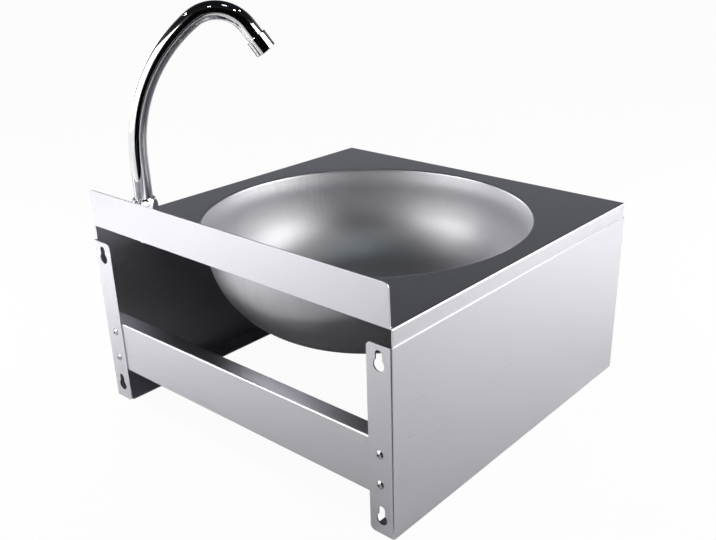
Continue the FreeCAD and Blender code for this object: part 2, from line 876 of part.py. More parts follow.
def make_knee_panel():
    body = new_body("knee_panel")
    inside = knee_half - dim.sheet
    lip = knee_front + dim.knee_return
    plan = new_sketch(body, "knee_panel_plan", "XY", dim.knee_bottom)
    polygon(
        plan,
        [
            (-knee_half, knee_front),
            (knee_half, knee_front),
            (knee_half, lip),
            (inside, lip),
            (inside, knee_back),
            (-inside, knee_back),
            (-inside, lip),
            (-knee_half, lip),
        ],
    )
    pad(body, plan, knee_top - dim.knee_bottom)
    base = new_sketch(body, "knee_panel_base", "XY", dim.knee_bottom)
    pad(body, rectangle(base, (-inside, knee_back), (inside, lip)), dim.sheet)
    folds = [
        {"x": knee_half, "y": knee_front},
        {"x": -knee_half, "y": knee_front},
        {"y": knee_front, "z": dim.knee_bottom},
    ]
    fillet(body, folds, dim.edge_bend, "knee_panel_folds")
    for name, x in (("left", -knee_half), ("right", inside)):
        ear = new_sketch(body, f"knee_panel_{name}_ear", "YZ", x)
        pad(body, circles(ear, [(hinge_y, hinge_z)], dim.ear_radius), dim.sheet)
    holes = new_sketch(body, "knee_panel_hinge_holes", "YZ", -knee_half - dim.overrun)
    circles(holes, [(hinge_y, hinge_z)], dim.hinge_radius + dim.running_gap)
    pocket(body, holes, (knee_half + dim.overrun) * 2)


def make_hinge_rod():
    body = new_body("hinge_rod")
    end = half_width - dim.sheet - dim.rod_end_gap
    section = new_sketch(body, "hinge_rod_section", "YZ", -end)
    pad(body, circles(section, [(hinge_y, hinge_z)], dim.hinge_radius), end * 2)


def make_hinge_bracket(label, side):
    """An angle under the deck that carries the rod; side is 1 at the right, -1 at the left."""
    reach = half_width - dim.bracket_inset
    outside = reach * side
    inside = (reach - dim.bracket_sheet) * side
    toe = (reach - dim.bracket_foot) * side
    foot_under = deck_under - dim.bracket_sheet
    bottom = hinge_z - dim.bracket_below
    rear = hinge_y + dim.bracket_back
    body = new_body(label)
    section = new_sketch(body, label + "_section", "XZ", rear)
    polygon(
        section,
        [
            (outside, bottom),
            (outside, deck_under),
            (toe, deck_under),
            (toe, foot_under),
            (inside, foot_under),
            (inside, bottom),
        ],
    )
    pad(body, section, dim.bracket_front + dim.bracket_back)
    fillet(body, [{"x": outside, "z": deck_under}], dim.edge_bend, label + "_fold")
    corners = [{"y": rear, "z": bottom}, {"y": hinge_y - dim.bracket_front, "z": bottom}]
    fillet(body, corners, dim.bracket_corner, label + "_corners")
    start = (inside if side > 0 else outside) - dim.overrun
    hole = new_sketch(body, label + "_hole", "YZ", start)
    circles(hole, [(hinge_y, hinge_z)], dim.hinge_radius + dim.running_gap)
    pocket(body, hole, dim.bracket_sheet + dim.overrun * 2)


def make_hinge_clips():
    bore = dim.hinge_radius + dim.running_gap
    master = ring("hinge_clip", bore, dim.clip_radius, ZERO, dim.clip_thickness)
    outer = knee_half - dim.sheet - dim.clip_gap
    sideways = Rotation(Vector(0, 1, 0), 90)
    placements = []
    for x in (-outer, outer - dim.clip_thickness):
        placements.append(Placement(Vector(x.number, hinge_y.number, hinge_z.number), sideways))
    group("hinge_clips", master, placements)


def make_panel_buffers():
    radius = dim.buffer_radius
    high = dim.buffer_thickness
    master = turned("panel_buffer", [(ZERO, ZERO), (radius, ZERO), (radius, high), (ZERO, high)])
    x = panel_outside - dim.buffer_inset
    y = front + dim.sheet
    placements = []
    for side_x in (-x, x):
        for z in (dim.knee_bottom + dim.buffer_margin, knee_top - dim.buffer_margin):
            spot = Vector(side_x.number, y.number, z.number)
            placements.append(Placement(spot, TOWARDS_WALL))
    group("panel_buffers", master, placements)


# Knee valve, built along Z and laid towards the wall

def lay_in_valve(body):
    place(body, y=knee_back, z=dim.valve_height, rotation=TOWARDS_WALL)


def make_push_button():
    radius = dim.button_radius
    dome = (radius * radius + dim.button_dome * dim.button_dome) / (dim.button_dome * 2)
    bore = dim.stem_radius + dim.running_gap
    bore_floor = button_back - dim.button_bore
    body = new_body("push_button")
    sketch = new_sketch(body, "push_button_section", "XZ")
    dome_centre = (ZERO, dim.button_gap + dome)
    steps = [
        arc_to(radius, dim.button_gap + dim.button_dome, dome_centre, True),
        line_to(radius, button_back),
        line_to(bore, button_back),
        line_to(bore, bore_floor),
        line_to(ZERO, bore_floor),
    ]
    revolve(body, trace(sketch, (ZERO, dim.button_gap), steps))
    lay_in_valve(body)


def make_valve_stem():
    stem_front = button_back - dim.button_bore
    groove_front = piston_middle - dim.groove_width / 2
    groove_back = piston_middle + dim.groove_width / 2
    body = turned(
        "valve_stem",
        [
            (ZERO, stem_front),
            (dim.stem_radius, stem_front),
            (dim.stem_radius, piston_front),
            (piston_radius, piston_front),
            (piston_radius, groove_front),
            (dim.groove_floor, groove_front),
            (dim.groove_floor, groove_back),
            (piston_radius, groove_back),
            (piston_radius, piston_back),
            (ZERO, piston_back),
        ],
    )
    lay_in_valve(body)


def seal_ring(label, inner, outer, height):
    """A round-section seal that just fits between two radii."""
    body = new_body(label)
    sketch = new_sketch(body, label + "_section", "XZ")
    section = (outer - inner) / 2 - dim.running_gap
    revolve(body, circles(sketch, [((inner + outer) / 2, height)], section))
    return body


def make_valve_bonnet():
    stem_hole = dim.stem_radius + dim.running_gap
    skirt_bore = dim.neck_radius + dim.running_gap
    body = turned(
        "valve_bonnet",
        [
            (stem_hole, bonnet_front),
            (dim.bonnet_radius - dim.bonnet_chamfer, bonnet_front),
            (dim.bonnet_radius, bonnet_front + dim.bonnet_chamfer),
            (dim.bonnet_radius, bonnet_end),
            (skirt_bore, bonnet_end),
            (skirt_bore, bonnet_inside),
            (stem_hole, bonnet_inside),
        ],
    )
    lay_in_valve(body)


def make_valve_body():
    neck_front = bonnet_inside + dim.bonnet_gap
    body = turned(
        "valve_body",
        [
            (dim.chamber_radius, neck_front),
            (dim.neck_radius, neck_front),
            (dim.neck_radius, plate_back),
            (dim.valve_radius, plate_back),
            (dim.valve_radius, valve_end),
            (dim.thread_radius, valve_end),
            (dim.thread_radius, inlet_end),
            (dim.port_radius, inlet_end),
            (dim.port_radius, chamber_end),
            (dim.chamber_radius, chamber_end),
        ],
    )
    outlet = (ZERO, plate_back + dim.outlet_place)
    spigot = new_sketch(body, "valve_outlet", "YZ", dim.chamber_radius)
    pad(body, circles(spigot, [outlet], dim.thread_radius), dim.outlet_reach - dim.chamber_radius)
    passage = new_sketch(body, "valve_outlet_passage", "YZ")
    pocket(body, circles(passage, [outlet], dim.port_radius), dim.outlet_reach + dim.overrun)
    lay_in_valve(body)


def make_valve_spring():
    outer = dim.chamber_radius - dim.spring_gap
    lay_in_valve(ring("valve_spring", outer - dim.spring_wall, outer, piston_back, chamber_end))


def make_valve_bracket():
    """A folded cross-piece on the bottom flanges, with a raised tab that holds the valve."""
    end = half_width - dim.cross_end_gap
    low = dim.sheet
    cross_top = low + dim.cross_height
    tab = dim.tab_half_width
    tab_top = dim.valve_height + dim.tab_above_valve
    face = knee_back + plate_front
    rear = knee_back + plate_back
    body = new_body("valve_bracket")
    upright = new_sketch(body, "valve_bracket_upright", "XZ", rear)
    polygon(
        upright,
        [
            (-end, low),
            (end, low),
            (end, cross_top),
            (tab, cross_top),
            (tab, tab_top),
            (-tab, tab_top),
            (-tab, cross_top),
            (-end, cross_top),
        ],
    )
    pad(body, upright, dim.bracket_sheet)
    foot = new_sketch(body, "valve_bracket_foot", "XY", low)
    pad(body, rectangle(foot, (-end, rear), (end, face + dim.cross_foot)), dim.bracket_sheet)
    fillet(body, [{"y": face, "z": low}], dim.edge_bend, "valve_bracket_fold")
    corners = [{"x": x, "z": z} for x in (-tab, tab) for z in (cross_top, tab_top)]
    fillet(body, corners, dim.tab_corner, "valve_bracket_corners")
    hole = new_sketch(body, "valve_bracket_hole", "XZ", rear + dim.overrun)
    circles(hole, [(ZERO, dim.valve_height)], dim.neck_radius + dim.hole_gap)
    pocket(body, hole, dim.bracket_sheet + dim.overrun * 2)


def make_valve():
    make_push_button()
    make_valve_stem()
    lay_in_valve(seal_ring("piston_seal", dim.groove_floor, dim.chamber_radius, piston_middle))
    make_valve_bonnet()
    make_valve_body()
    make_valve_spring()
    bore = dim.neck_radius + dim.running_gap
    nut_front = plate_front - dim.valve_nut_height
    nut = hex_nut("valve_lock_nut", dim.valve_nut_flats, bore, nut_front, dim.valve_nut_height)
    lay_in_valve(nut)
    make_valve_bracket()


# Waste in the seat of the bowl

def make_waste_flange():
    flange_radius = dim.seat_radius - dim.waste_flange_gap
    step_radius = dim.strainer_radius + dim.strainer_gap
    step_floor = seat_rim - dim.strainer_step
    body = turned(
        "waste_flange",
        [
            (dim.tail_bore, tail_end),
            (dim.tail_radius, tail_end),
            (dim.tail_radius, waste_nut_under - dim.thread_runout),
            (dim.tail_grip_radius, waste_nut_under - dim.thread_runout),
            (dim.tail_grip_radius, waste_flange_under),
            (flange_radius, waste_flange_under),
            (flange_radius, seat_rim),
            (step_radius, seat_rim),
            (step_radius, step_floor),
            (dim.tail_bore, step_floor),
        ],
    )
    reach = (dim.tail_bore + dim.tail_radius) / 2
    half = dim.bridge_width / 2
    bridge = new_sketch(body, "waste_bridge", "XY", bridge_under)
    pad(body, rectangle(bridge, (-reach, -half), (reach, half)), dim.bridge_height)
    hole = new_sketch(body, "waste_bridge_hole", "XY", bridge_under - dim.overrun)
    circles(hole, [(ZERO, ZERO)], dim.screw_radius + dim.running_gap)
    pocket(body, hole, dim.bridge_height + dim.overrun * 2)
    place(body, bowl_x, middle)


def make_strainer_plate():
    low = seat_rim - dim.strainer_step
    depth = dim.strainer_thickness + dim.overrun * 2
    body = ring("strainer_plate", dim.screw_radius + dim.hole_gap, dim.strainer_radius, low, strainer_top)
    rings = (
        ("inner", STRAINER_INNER_HOLES, dim.strainer_inner_ring, dim.strainer_inner_hole),
        ("outer", STRAINER_OUTER_HOLES, dim.strainer_outer_ring, dim.strainer_outer_hole),
    )
    for name, count, ring_radius, hole_radius in rings:
        holes = new_sketch(body, f"strainer_{name}_holes", "XY", low - dim.overrun)
        pocket(body, circles(holes, ring_of(count, ring_radius), hole_radius), depth)
    place(body, bowl_x, middle)


def make_strainer_screw():
    head = dim.screw_head_radius
    top = strainer_top + dim.screw_head_height
    body = turned(
        "strainer_screw",
        [
            (ZERO, bridge_under),
            (dim.screw_radius, bridge_under),
            (dim.screw_radius, strainer_top),
            (head, strainer_top),
            (head, (strainer_top + top) / 2),
            ((head + dim.screw_radius) / 2, top),
            (ZERO, top),
        ],
    )
    half = dim.screw_slot_half
    slot = new_sketch(body, "strainer_screw_slot", "XY", top - dim.screw_slot_depth)
    rectangle(slot, (-head - dim.overrun, -half), (head + dim.overrun, half))
    pocket(body, slot, dim.screw_slot_depth + dim.overrun)
    place(body, bowl_x, middle)


def make_waste():
    make_waste_flange()
    make_strainer_plate()
    make_strainer_screw()
    bore = dim.tail_radius + dim.seal_bore_gap
    upper = ring("upper_waste_seal", bore, dim.upper_seal_radius, seat_floor, waste_flange_under)
    place(upper, bowl_x, middle)
    lower = ring("lower_waste_seal", bore, dim.lower_seal_radius, waste_nut_top, seat_under)
    place(lower, bowl_x, middle)
    nut_bore = dim.tail_grip_radius + dim.running_gap
    nut = hex_nut("waste_lock_nut", dim.waste_nut_flats, nut_bore, waste_nut_under, dim.waste_nut_height)
    place(nut, bowl_x, middle)


# Tap shank and the fittings about it

def make_tap_shank():
    tail = shank_under - dim.shank_tail
    half = dim.ring_groove_width / 2
    outline = [
        (dim.shank_bore, tail),
        (dim.thread_radius - dim.thread_chamfer, tail),
        (dim.thread_radius, tail + dim.thread_chamfer),
        (dim.thread_radius, tap_nut_under - dim.thread_runout),
        (dim.thread_grip_radius, tap_nut_under - dim.thread_runout),
        (dim.thread_grip_radius, shank_under),
        (dim.shank_flange_radius, shank_under),
        (dim.shank_flange_radius, shank_shoulder),
        (dim.shank_neck_radius, shank_shoulder),
        (dim.shank_neck_radius, shank_top),
        (socket_radius, shank_top),
    ]
    for height in (upper_ring, lower_ring):
        outline += [
            (socket_radius, height + half),
            (dim.ring_groove_radius, height + half),
            (dim.ring_groove_radius, height - half),
            (socket_radius, height - half),
        ]
    outline += [(socket_radius, socket_floor), (dim.shank_bore, socket_floor)]
    place(turned("tap_shank", outline), tap_x, tap_y)


def make_spout_seals():
    master = seal_ring("spout_seal", dim.spigot_radius, dim.ring_groove_radius, lower_ring)
    placements = []
    for lift in (ZERO, dim.ring_pitch):
        placements.append(Placement(Vector(tap_x.number, tap_y.number, lift.number), Rotation()))
    group("spout_seals", master, placements)


def make_coupling_nut():
    label = "coupling_nut"
    flats = dim.coupling_flats
    body = new_body(label)
    outline = new_sketch(body, "coupling_hexagon", "XY", coupling_under)
    pad(body, hexagon(outline, flats), dim.coupling_height)
    thread = new_sketch(body, "coupling_thread", "XY", coupling_under - dim.overrun)
    circles(thread, [(ZERO, ZERO)], dim.shank_neck_radius + dim.running_gap)
    pocket(body, thread, coupling_shelf - coupling_under + dim.overrun)
    mouth = new_sketch(body, "coupling_mouth", "XY", coupling_shelf - dim.overrun)
    circles(mouth, [(ZERO, ZERO)], dim.tube_radius + dim.coupling_lip_gap)
    pocket(body, mouth, coupling_top - coupling_shelf + dim.overrun * 2)
    crown = dim.coupling_top_radius
    chamfer_corners(body, label, flats, coupling_top, coupling_under, crown, dim.coupling_cone, False)
    place(body, tap_x, tap_y)


def make_tap():
    make_tap_shank()
    bore = dim.thread_radius + dim.seal_bore_gap
    place(ring("tap_base_seal", bore, dim.shank_flange_radius, deck_top, shank_under), tap_x, tap_y)
    washer = ring("tap_clamp_washer", bore, dim.tap_washer_radius, washer_under, deck_under)
    place(washer, tap_x, tap_y)
    nut_bore = dim.thread_grip_radius + dim.running_gap
    nut = hex_nut("tap_lock_nut", dim.tap_nut_flats, nut_bore, tap_nut_under, dim.tap_nut_height)
    place(nut, tap_x, tap_y)
    make_spout_seals()
    bush_bore = dim.tube_radius + dim.swivel_gap
    bush_radius = dim.shank_neck_radius - dim.running_gap
    place(ring("spout_bush", bush_bore, bush_radius, bush_under, bush_top), tap_x, tap_y)
    make_coupling_nut()


# Spout: a straight rise, a long sweep, a tight crook and a straight nose

sweep_start = deck_top + dim.spout_rise
sweep_end = (
    dim.spout_sweep_radius - dim.spout_sweep_radius * cosine(dim.spout_sweep_angle),
    sweep_start + dim.spout_sweep_radius * sine(dim.spout_sweep_angle),
)
centre_shift = dim.spout_sweep_radius - dim.spout_crook_radius
crook_centre = (
    dim.spout_sweep_radius - centre_shift * cosine(dim.spout_sweep_angle),
    sweep_start + centre_shift * sine(dim.spout_sweep_angle),
)
crook_end = (
    crook_centre[0] - dim.spout_crook_radius * cosine(nose_angle),
    crook_centre[1] + dim.spout_crook_radius * sine(nose_angle),
)


def along_nose(length):
    """A spot on the straight nose, counted from the end of the crook."""
    return crook_end[0] + sine(nose_angle) * length, crook_end[1] + cosine(nose_angle) * length


def make_spout_tube():
    body = new_body("spout_tube")
    foot = socket_floor + dim.spigot_floor_gap
    profile = new_sketch(body, "spout_bore_and_wall", "XY", bead_under)
    circles(profile, [(ZERO, ZERO)], dim.tube_radius)
    circles(profile, [(ZERO, ZERO)], dim.tube_radius - dim.tube_wall)
    path = new_sketch(body, "spout_path", "XZ")
    steps = [
        line_to(ZERO, sweep_start),
        arc_to(*sweep_end, (dim.spout_sweep_radius, sweep_start), False),
        arc_to(*crook_end, crook_centre, False),
        line_to(*along_nose(dim.spout_nose + dim.aerator_grip)),
    ]
    trace(path, (ZERO, bead_under), steps, closed=False)
    tube = body.newObject("PartDesign::AdditivePipe", "spout_tube_sweep")
    tube.Profile = profile
    tube.Spine = path
    doc.recompute()
    tail = new_sketch(body, "spout_spigot", "XZ")
    polygon(
        tail,
        [
            (dim.shank_bore, foot),
            (dim.spigot_radius, foot),
            (dim.spigot_radius, bead_under),
            (dim.bead_radius, bead_under),
            (dim.bead_radius, bead_top),
            (dim.shank_bore, bead_top),
        ],
    )
    revolve(body, tail)
    place(body, tap_x, tap_y, rotation=HEADING)


def lay_on_nose(body):
    reach, height = along_nose(dim.spout_nose)
    x = tap_x + reach * cosine(dim.spout_heading)
    y = tap_y + reach * sine(dim.spout_heading)
    down_nose = HEADING.multiply(Rotation(Vector(0, 1, 0), nose_angle.number))
    place(body, x, y, height, down_nose)


def make_aerator():
    bore = dim.tube_radius + dim.running_gap
    outside = dim.aerator_radius
    edge = outside - dim.aerator_chamfer
    length = dim.aerator_length
    lip = length - dim.aerator_lip
    housing = turned(
        "aerator_housing",
        [
            (bore, ZERO),
            (edge, ZERO),
            (outside, dim.aerator_chamfer),
            (outside, length - dim.aerator_chamfer),
            (edge, length),
            (dim.aerator_mouth, length),
            (dim.aerator_mouth, lip),
            (bore, lip),
        ],
    )
    lay_on_nose(housing)
    inner_radius = bore - dim.insert_gap
    washer_end = dim.aerator_grip + dim.aerator_washer_thickness
    washer = ring("aerator_washer", dim.aerator_washer_bore, inner_radius, dim.aerator_grip, washer_end)
    lay_on_nose(washer)
    insert = ring("aerator_insert", dim.insert_hole, inner_radius, washer_end, lip)
    holes = new_sketch(insert, "aerator_insert_holes", "XY", washer_end - dim.overrun)
    circles(holes, ring_of(INSERT_HOLES, dim.insert_ring), dim.insert_hole)
    pocket(insert, holes, lip - washer_end + dim.overrun * 2)
    lay_on_nose(insert)


def check_document():
    """Stops before anything is written if a feature or a piece is broken."""
    doc.recompute()
    for item in doc.Objects:
        if "Invalid" in item.State or "Error" in item.State:
            raise ValueError(f"{item.Name} is {item.State}")
    for node in nodes:
        if node.Shape.isNull() or not node.Shape.isValid():
            raise ValueError(f"{node.Label} has no sound shape")


def write_parts():
    os.makedirs("parts", exist_ok=True)
    for node in nodes:
        node.Shape.exportStep(f"parts/{node.Label}.step")


make_deck()
make_bowl()
make_side_panel("left_side_panel", -1)
make_side_panel("right_side_panel", 1)
make_rear_rail()
make_rail_rivets()
make_knee_panel()
make_hinge_rod()
make_hinge_bracket("left_hinge_bracket", -1)
make_hinge_bracket("right_hinge_bracket", 1)
make_hinge_clips()
make_panel_buffers()
make_valve()
make_waste()
make_tap()
make_spout_tube()
make_aerator()
check_document()
write_parts()
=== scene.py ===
import json
import math

import bmesh
import bpy
from mathutils import Matrix, Vector


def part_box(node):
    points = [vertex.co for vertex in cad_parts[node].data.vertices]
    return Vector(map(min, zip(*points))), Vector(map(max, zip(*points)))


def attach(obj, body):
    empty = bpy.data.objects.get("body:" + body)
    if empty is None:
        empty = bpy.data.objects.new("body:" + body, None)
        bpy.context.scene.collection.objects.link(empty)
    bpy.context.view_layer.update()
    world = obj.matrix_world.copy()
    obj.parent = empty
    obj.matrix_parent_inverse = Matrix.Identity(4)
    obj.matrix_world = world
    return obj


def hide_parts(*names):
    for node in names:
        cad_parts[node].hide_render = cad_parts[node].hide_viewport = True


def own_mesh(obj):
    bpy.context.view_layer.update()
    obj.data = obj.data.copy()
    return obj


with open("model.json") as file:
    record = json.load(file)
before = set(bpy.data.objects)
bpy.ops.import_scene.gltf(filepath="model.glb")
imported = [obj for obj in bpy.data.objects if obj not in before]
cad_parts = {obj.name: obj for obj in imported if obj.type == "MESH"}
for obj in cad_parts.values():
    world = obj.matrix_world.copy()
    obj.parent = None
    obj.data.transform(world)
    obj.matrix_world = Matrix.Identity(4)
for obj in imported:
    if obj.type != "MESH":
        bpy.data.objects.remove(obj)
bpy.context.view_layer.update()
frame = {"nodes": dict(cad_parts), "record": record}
nodes = frame["nodes"]


# Colours, as linear light

STEEL = (0.70, 0.695, 0.742)
STEEL_SHADE = (0.68, 0.675, 0.722)
MILL_STEEL = (0.58, 0.58, 0.61)
MILL_SHADE = (0.42, 0.42, 0.45)
CHROME = (0.86, 0.87, 0.885)
CHROME_SHADE = (0.80, 0.81, 0.83)
RIVET = (0.46, 0.46, 0.49)
RIVET_SHADE = (0.40, 0.40, 0.43)
BRASS = (0.70, 0.50, 0.22)
BRASS_SHADE = (0.52, 0.34, 0.13)
RUBBER = (0.022, 0.022, 0.024)
RUBBER_SHADE = (0.040, 0.039, 0.038)
PLASTIC = (0.74, 0.74, 0.71)
PLASTIC_SHADE = (0.66, 0.65, 0.61)
FLOOR = (0.90, 0.90, 0.90)
WARM_LIGHT = (1.0, 1.0, 0.955)
COOL_LIGHT = (0.72, 0.94, 1.0)


# Materials

class Nodes:
    """One material's node tree, with short ways to add and join its nodes."""

    def __init__(self, name):
        self.material = bpy.data.materials.new(name)
        self.material.use_nodes = True
        self.tree = self.material.node_tree
        self.tree.nodes.clear()
        self.output = self.tree.nodes.new("ShaderNodeOutputMaterial")

    def add(self, kind, **settings):
        node = self.tree.nodes.new(kind)
        for name, value in settings.items():
            setattr(node, name, value)
        return node

    def join(self, source, target):
        self.tree.links.new(source, target)

    def principled(self, metallic, roughness):
        shader = self.add("ShaderNodeBsdfPrincipled")
        shader.inputs["Metallic"].default_value = metallic
        shader.inputs["Roughness"].default_value = roughness
        self.join(shader.outputs["BSDF"], self.output.inputs["Surface"])
        return shader

    def object_place(self):
        return self.add("ShaderNodeTexCoord").outputs["Object"]

    def stretched(self, place, scale):
        mapping = self.add("ShaderNodeMapping")
        mapping.inputs["Scale"].default_value = scale
        self.join(place, mapping.inputs["Vector"])
        return mapping.outputs["Vector"]

    def noise(self, place, scale, detail):
        texture = self.add("ShaderNodeTexNoise")
        texture.inputs["Scale"].default_value = scale
        texture.inputs["Detail"].default_value = detail
        self.join(place, texture.inputs["Vector"])
        return texture.outputs["Fac"]

    def between(self, factor, low, high):
        span = self.add("ShaderNodeMapRange")
        span.inputs["To Min"].default_value = low
        span.inputs["To Max"].default_value = high
        self.join(factor, span.inputs["Value"])
        return span.outputs["Result"]

    def blend_colours(self, factor, first, second):
        mix = self.add("ShaderNodeMix", data_type="RGBA")
        mix.inputs["A"].default_value = (*first, 1.0)
        mix.inputs["B"].default_value = (*second, 1.0)
        self.join(factor, mix.inputs["Factor"])
        return mix.outputs["Result"]

    def summed(self, first, second):
        node = self.add("ShaderNodeMath", operation="ADD")
        self.join(first, node.inputs[0])
        self.join(second, node.inputs[1])
        return node.outputs["Value"]

    def scaled(self, value, share):
        node = self.add("ShaderNodeMath", operation="MULTIPLY")
        self.join(value, node.inputs[0])
        node.inputs[1].default_value = share
        return node.outputs["Value"]

    def eased(self, value, limits, first, last):
        """Runs smoothly from a first to a last level while a value runs between two limits."""
        node = self.add("ShaderNodeMapRange", interpolation_type="SMOOTHSTEP")
        levels = {"From Min": limits[0], "From Max": limits[1], "To Min": first, "To Max": last}
        for socket, level in levels.items():
            node.inputs[socket].default_value = level
        self.join(value, node.inputs["Value"])
        return node.outputs["Result"]

    def bump(self, height, strength, distance, normal=None):
        node = self.add("ShaderNodeBump")
        node.inputs["Strength"].default_value = strength
        node.inputs["Distance"].default_value = distance
        self.join(height, node.inputs["Height"])
        if normal is not None:
            self.join(normal, node.inputs["Normal"])
        return node.outputs["Normal"]

    def eased_edges(self, radius):
        node = self.add("ShaderNodeBevel", samples=4)
        node.inputs["Radius"].default_value = radius
        return node.outputs["Normal"]


def sheet_steel(name, grain, roughness, ease):
    """Satin sheet: fine grain along one axis, faint cloudiness, and a softened cut edge."""
    made = Nodes(name)
    shader = made.principled(1.0, roughness)
    place = made.object_place()
    lines = made.noise(made.stretched(place, grain), scale=1.0, detail=5.0)
    clouds = made.noise(place, scale=9.0, detail=3.0)
    made.join(made.blend_colours(clouds, STEEL_SHADE, STEEL), shader.inputs["Base Color"])
    line_spread, cloud_spread = 0.015, 0.01
    fine = made.between(lines, -line_spread, line_spread)
    broad = made.between(clouds, roughness - cloud_spread, roughness + cloud_spread)
    made.join(made.summed(fine, broad), shader.inputs["Roughness"])
    eased = made.eased_edges(ease)
    made.join(made.bump(lines, strength=0.008, distance=0.0001, normal=eased), shader.inputs["Normal"])
    return made.material


def bowl_steel(name, centre, rim_heights, lip_heights, roughness):
    """Pressed bowl: polished in rings inside and duller towards its rim, with drawing marks down its wall.

    Its rolled lip is shinier and has no marks. Outside it is shinier too, in the darker tone of the mill.
    """
    height_above_bowl = 0.40
    ring_spread, mark_spread, mark_relief = 0.05, 0.10, 0.5
    duller_rim, shinier_lip, shinier_outside = 0.15, -0.20, -0.12
    made = Nodes(name)
    shader = made.principled(1.0, roughness)
    place = made.object_place()
    shifted = made.add("ShaderNodeVectorMath", operation="SUBTRACT")
    shifted.inputs[1].default_value = centre
    made.join(place, shifted.inputs[0])
    parts = made.add("ShaderNodeSeparateXYZ")
    made.join(shifted.outputs["Vector"], parts.inputs["Vector"])
    flat = made.add("ShaderNodeCombineXYZ")
    made.join(parts.outputs["X"], flat.inputs["X"])
    made.join(parts.outputs["Y"], flat.inputs["Y"])
    reach = made.add("ShaderNodeVectorMath", operation="LENGTH")
    made.join(flat.outputs["Vector"], reach.inputs[0])
    ring_place = made.add("ShaderNodeCombineXYZ")
    made.join(reach.outputs["Value"], ring_place.inputs["X"])
    made.join(parts.outputs["Z"], ring_place.inputs["Y"])
    rings = made.noise(ring_place.outputs["Vector"], scale=900.0, detail=3.0)
    clouds = made.noise(place, scale=14.0, detail=4.0)
    around = made.add("ShaderNodeMath", operation="ARCTAN2")
    made.join(parts.outputs["Y"], around.inputs[0])
    made.join(parts.outputs["X"], around.inputs[1])
    mark_place = made.add("ShaderNodeCombineXYZ")
    made.join(around.outputs["Value"], mark_place.inputs["X"])
    made.join(made.scaled(parts.outputs["Z"], share=0.06), mark_place.inputs["Y"])
    marks = made.noise(mark_place.outputs["Vector"], scale=90.0, detail=3.0)
    outward = made.add("ShaderNodeVectorMath", operation="SUBTRACT")
    outward.inputs[1].default_value = (centre[0], centre[1], height_above_bowl)
    made.join(place, outward.inputs[0])
    leaning = made.add("ShaderNodeVectorMath", operation="DOT_PRODUCT")
    made.join(outward.outputs["Vector"], leaning.inputs[0])
    made.join(made.add("ShaderNodeNewGeometry").outputs["Normal"], leaning.inputs[1])
    outside = made.add("ShaderNodeMath", operation="GREATER_THAN")
    outside.inputs[1].default_value = 0.0
    made.join(leaning.outputs["Value"], outside.inputs[0])
    polished = made.blend_colours(clouds, STEEL_SHADE, STEEL)
    sides = made.add("ShaderNodeMix", data_type="RGBA")
    made.join(polished, sides.inputs["A"])
    made.join(made.blend_colours(marks, MILL_SHADE, MILL_STEEL), sides.inputs["B"])
    made.join(outside.outputs["Value"], sides.inputs["Factor"])
    made.join(sides.outputs["Result"], shader.inputs["Base Color"])
    fine = made.between(rings, -ring_spread, ring_spread)
    broad = made.between(marks, roughness - mark_spread, roughness + mark_spread)
    wall = made.summed(fine, broad)
    inside = made.summed(wall, made.eased(parts.outputs["Z"], rim_heights, 0.0, duller_rim))
    below_lip = made.summed(inside, made.scaled(outside.outputs["Value"], shinier_outside))
    rolled = made.eased(parts.outputs["Z"], lip_heights, 0.0, shinier_lip)
    made.join(made.summed(below_lip, rolled), shader.inputs["Roughness"])
    streaks = made.bump(marks, strength=mark_relief, distance=0.0003)
    fading = made.eased(parts.outputs["Z"], lip_heights, mark_relief, 0.0)
    made.join(fading, streaks.node.inputs["Strength"])
    made.join(made.bump(rings, strength=0.06, distance=0.0002, normal=streaks), shader.inputs["Normal"])
    return made.material


def plated(name, colour, shade, roughness, ease):
    """Polished plating: nearly even, with a faint bloom that dulls it here and there."""
    made = Nodes(name)
    shader = made.principled(1.0, roughness)
    place = made.object_place()
    bloom = made.noise(place, scale=60.0, detail=4.0)
    least_share, most_share = 0.6, 1.4
    made.join(made.blend_colours(bloom, shade, colour), shader.inputs["Base Color"])
    uneven = made.between(bloom, roughness * least_share, roughness * most_share)
    made.join(uneven, shader.inputs["Roughness"])
    made.join(made.eased_edges(ease), shader.inputs["Normal"])
    return made.material


def turned_metal(name, colour, shade, roughness, ease):
    """Turned or drawn metal: small grain and tarnish, with softened edges."""
    made = Nodes(name)
    shader = made.principled(1.0, roughness)
    place = made.object_place()
    grain = made.noise(place, scale=900.0, detail=4.0)
    tarnish = made.noise(place, scale=70.0, detail=5.0)
    duller, brighter = 0.10, 0.06
    made.join(made.blend_colours(tarnish, shade, colour), shader.inputs["Base Color"])
    made.join(made.between(tarnish, roughness + duller, roughness - brighter), shader.inputs["Roughness"])
    eased = made.eased_edges(ease)
    made.join(made.bump(grain, strength=0.08, distance=0.0002, normal=eased), shader.inputs["Normal"])
    return made.material


def moulded(name, colour, shade, roughness, grain_scale, depth):
    """Moulded rubber or plastic: fine pitted skin with slight changes of tone."""
    made = Nodes(name)
    shader = made.principled(0.0, roughness)
    place = made.object_place()
    pits = made.noise(place, scale=grain_scale, detail=3.0)
    tone = made.noise(place, scale=80.0, detail=4.0)
    pit_spread = 0.08
    made.join(made.blend_colours(tone, shade, colour), shader.inputs["Base Color"])
    made.join(made.between(pits, roughness - pit_spread, roughness + pit_spread), shader.inputs["Roughness"])
    made.join(made.bump(pits, strength=0.25, distance=depth), shader.inputs["Normal"])
    return made.material


